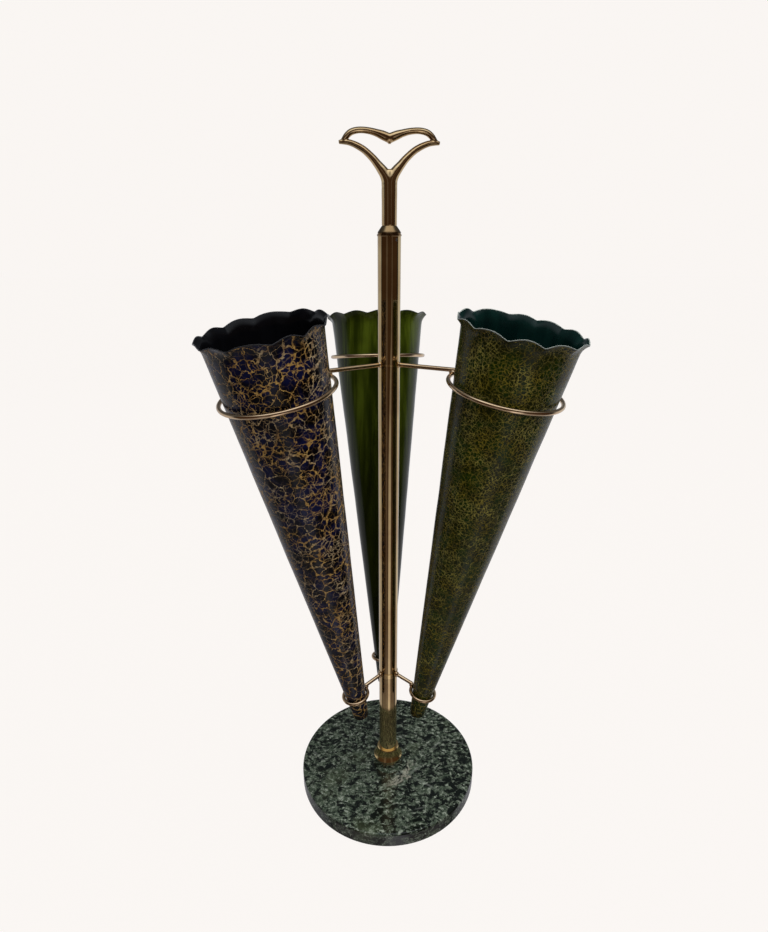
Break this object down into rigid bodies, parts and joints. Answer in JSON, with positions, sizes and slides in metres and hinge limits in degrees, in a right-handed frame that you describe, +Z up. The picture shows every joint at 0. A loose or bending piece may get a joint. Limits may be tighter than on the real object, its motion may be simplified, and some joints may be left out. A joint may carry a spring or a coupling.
{
  "type": "umbrella stand",
  "caption": "Umbrella stand: lacquered metal cones resting in wire rings on radial arms round a brass post, with a loop handle and a marble disc base.",
  "frame": {"origin": "centre of the felt's underside, on the floor under the post's centre line", "axes": "+Z up along the post, +X to the right and +Y to the back as the handle is seen from the front"},
  "size_m": [0.3452, 0.3172, 0.7473],
  "materials": {
    "marble": "polished green marble with grey-green veins",
    "felt": "dark felt",
    "steel": "plain",
    "polished_brass": "polished",
    "cast_brass": "polished casting",
    "wire_brass": "polished wire, slightly worn",
    "lacquer_left": "gloss navy lacquer with a coarse ochre crackle",
    "lacquer_right": "gloss dark green lacquer with a fine ochre crackle",
    "lacquer_back": "plain gloss moss green lacquer",
    "lacquer_inside": "gloss black"
  },
  "bodies": {
    "stand": {"marble_base": "marble", "felt_disc": "felt", "base_washer": "steel", "base_nut": "steel", "base_stud": "steel", "foot_nut": "polished_brass", "foot_bell": "polished_brass", "foot_plug": "polished_brass", "post_tube": "polished_brass", "lower_braze_ring": "wire_brass", "upper_braze_ring": "wire_brass", "ferrule": "polished_brass", "set_screw": "steel", "handle_stud": "steel", "handle": "cast_brass", "upper_arm_left": "wire_brass", "upper_ring_left": "wire_brass", "lower_arm_left": "wire_brass", "lower_ring_left": "wire_brass", "upper_arm_right": "wire_brass", "upper_ring_right": "wire_brass", "lower_arm_right": "wire_brass", "lower_ring_right": "wire_brass", "upper_arm_back": "wire_brass", "upper_ring_back": "wire_brass", "lower_arm_back": "wire_brass", "lower_ring_back": "wire_brass"},
    "left_cone": {"cone_left": "lacquer_left", "tip_cap_left": "lacquer_inside"},
    "right_cone": {"cone_right": "lacquer_right", "tip_cap_right": "lacquer_inside"},
    "back_cone": {"cone_back": "lacquer_back", "tip_cap_back": "lacquer_inside"}
  },
  "joints": [
    {"name": "left_cone_lift", "type": "slide", "parent": "stand", "child": "left_cone", "axis": [-0.1682, -0.0971, 0.981], "range_m": [0, 0.43]},
    {"name": "right_cone_lift", "type": "slide", "parent": "stand", "child": "right_cone", "axis": [0.1647, -0.1029, 0.981], "range_m": [0, 0.43]},
    {"name": "back_cone_lift", "type": "slide", "parent": "stand", "child": "back_cone", "axis": [-0.0068, 0.1941, 0.981], "range_m": [0, 0.43]}
  ]
}
